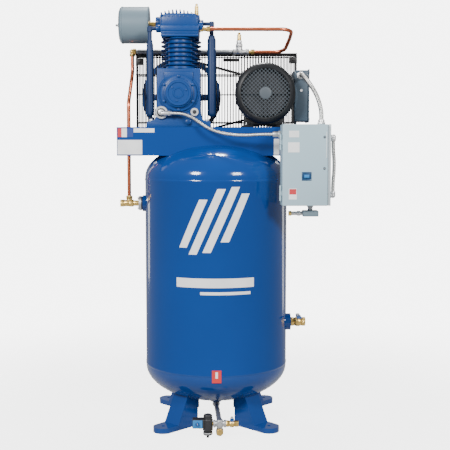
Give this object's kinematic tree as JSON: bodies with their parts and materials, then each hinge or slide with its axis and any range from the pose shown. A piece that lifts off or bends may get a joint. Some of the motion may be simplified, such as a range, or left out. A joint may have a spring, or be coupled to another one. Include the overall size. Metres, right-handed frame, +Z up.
{
  "type": "vertical tank compressor",
  "caption": "Upright blue air receiver on four feet, with a deck on top that carries a belt-driven two-stage pump, a motor, a wire belt guard and a control box.",
  "frame": {"origin": "centre of the tank's axis at floor level", "axes": "+Z up along the tank's axis, front towards -Y, +X to the viewer's right"},
  "size_m": [0.919, 0.664, 1.789],
  "materials": {
    "tank_paint": "gloss blue enamel",
    "pump_paint": "painted casting, satin blue",
    "deep_blue": "dark blue enamel",
    "black_paint": "satin black enamel",
    "slate_paint": "dark slate enamel",
    "box_paint": "pale grey-blue powder coat",
    "canister": "grey enamel",
    "brass": "machined brass",
    "copper": "drawn copper",
    "zinc": "zinc plate",
    "steel": "machined steel",
    "bare_iron": "machined iron",
    "alloy": "cast alloy",
    "belt_rubber": "moulded rubber",
    "black_plastic": "moulded black",
    "blue_plastic": "moulded blue",
    "paper": "pleated paper",
    "glass": "clear",
    "conduit": "flexible steel conduit"
  },
  "bodies": {
    "tank_and_frame": {"aftercooler_tube": "alloy", "auto_drain": "black_plastic", "bearing_cover": "pump_paint", "check_valve": "brass", "connecting_rods": "alloy", "contactor": "black_plastic", "control_box": "box_paint", "copper_tubes": "copper", "crank_bearings": "steel", "crankcase": "pump_paint", "cylinder_head": "pump_paint", "drain_manifold": "zinc", "drain_valve": "brass", "drive_belts": "belt_rubber", "filter_canister": "canister", "filter_element": "paper", "foot_front_left": "tank_paint", "foot_front_right": "tank_paint", "foot_rear_left": "tank_paint", "foot_rear_right": "tank_paint", "guard_frame": "black_paint", "guard_front": "black_paint", "guard_rear": "black_paint", "high_pressure_cylinder": "pump_paint", "intercooler_tubes": "deep_blue", "line_fittings": "zinc", "low_pressure_cylinder": "pump_paint", "motor_conduit": "conduit", "motor_conduit_box": "slate_paint", "motor_end_bells": "black_paint", "motor_fan_cover": "black_paint", "motor_frame": "black_paint", "mounting_bolts": "zinc", "mounting_deck": "tank_paint", "oil_level_switch": "zinc", "outlet_valve": "brass", "pistons": "alloy", "pressure_switch": "canister", "relief_valve_body": "brass", "safety_valve_body": "brass", "sensor_conduit": "conduit", "side_conduit": "conduit", "sight_glass": "glass", "tank_bottom_head": "tank_paint", "tank_couplings": "tank_paint", "tank_shell": "tank_paint", "tank_top_head": "tank_paint", "valve_plate": "steel"},
    "crank": {"crankshaft": "steel", "flywheel": "pump_paint"},
    "motor_turning_set": {"motor_rotor": "steel", "motor_fan": "black_plastic", "motor_pulley": "bare_iron"},
    "door": {"box_door": "box_paint"},
    "reset": {"reset_button": "blue_plastic"},
    "outlet_lever": {"outlet_handle": "blue_plastic"},
    "drain_lever": {"drain_handle": "blue_plastic"},
    "drain_timer": {"timer_knob": "blue_plastic"},
    "safety_stem": {"safety_valve_stem": "brass"},
    "relief_stem": {"relief_valve_stem": "brass"}
  },
  "joints": [
    {"name": "crank_spin", "type": "hinge", "parent": "tank_and_frame", "child": "crank", "pos_m": [-0.155, 0, 1.405], "axis": [0, 1, 0], "continuous": true},
    {"name": "motor_spin", "type": "hinge", "parent": "tank_and_frame", "child": "motor_turning_set", "pos_m": [0.205, 0, 1.405], "axis": [0, 1, 0], "continuous": true},
    {"name": "door_swing", "type": "hinge", "parent": "tank_and_frame", "child": "door", "pos_m": [0.259, -0.29, 1.109], "axis": [0, 0, -1], "range_deg": [0, 110]},
    {"name": "reset_press", "type": "slide", "parent": "door", "child": "reset", "axis": [0, 1, 0], "range_m": [0, 0.004], "stiffness_N_per_m": 400},
    {"name": "outlet_turn", "type": "hinge", "parent": "tank_and_frame", "child": "outlet_lever", "pos_m": [0.357, 0, 0.447], "axis": [0, 0, 1], "range_deg": [0, 90]},
    {"name": "drain_turn", "type": "hinge", "parent": "tank_and_frame", "child": "drain_lever", "pos_m": [0.064, -0.315, 0.079], "axis": [0, 0, 1], "range_deg": [0, 90]},
    {"name": "timer_turn", "type": "hinge", "parent": "tank_and_frame", "child": "drain_timer", "pos_m": [-0.076, -0.327, 0.063], "axis": [0, -1, 0], "range_deg": [0, 270]},
    {"name": "safety_lift", "type": "slide", "parent": "tank_and_frame", "child": "safety_stem", "axis": [0, 0, 1], "range_m": [0, 0.003], "stiffness_N_per_m": 2000},
    {"name": "relief_lift", "type": "slide", "parent": "tank_and_frame", "child": "relief_stem", "axis": [0, 0, 1], "range_m": [0, 0.003], "stiffness_N_per_m": 2000}
  ],
  "couplings": [
    {"joint": "motor_spin", "follows": "crank_spin", "ratio": 2.1325}
  ]
}
